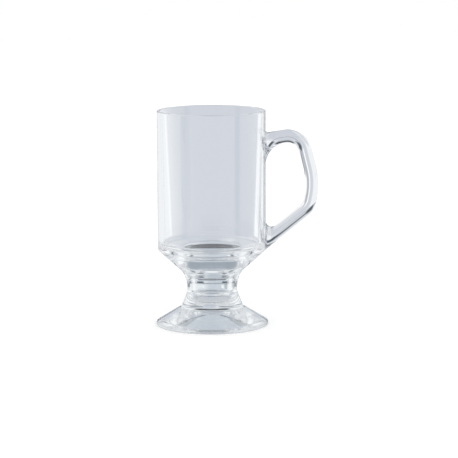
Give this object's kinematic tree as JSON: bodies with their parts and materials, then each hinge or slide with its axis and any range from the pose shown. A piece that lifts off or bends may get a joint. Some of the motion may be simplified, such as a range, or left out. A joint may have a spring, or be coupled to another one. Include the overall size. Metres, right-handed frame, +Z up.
{
  "type": "footed glass mug",
  "caption": "Clear glass mug for beer or hot drinks: straight bowl, funnel to a short hollow stem, spreading foot and strap handle.",
  "frame": {"origin": "on the table, under the middle of the box that the mug and its handle take up; the mug's own upright axis is 16.98 mm from it towards -X", "axes": "+Z up along the mug's axis, +X towards the handle, +Y to the back as seen with the handle on the right"},
  "size_m": [0.1096, 0.0756, 0.145],
  "materials": {
    "bowl_glass": "clear, pressed and fire-polished",
    "stem_glass": "clear, pressed and fire-polished",
    "foot_glass": "clear, pressed and fire-polished",
    "handle_glass": "clear, pressed and fire-polished"
  },
  "bodies": {
    "root": {"bowl": "bowl_glass", "stem": "stem_glass", "foot": "foot_glass", "handle": "handle_glass"}
  },
  "joints": []
}
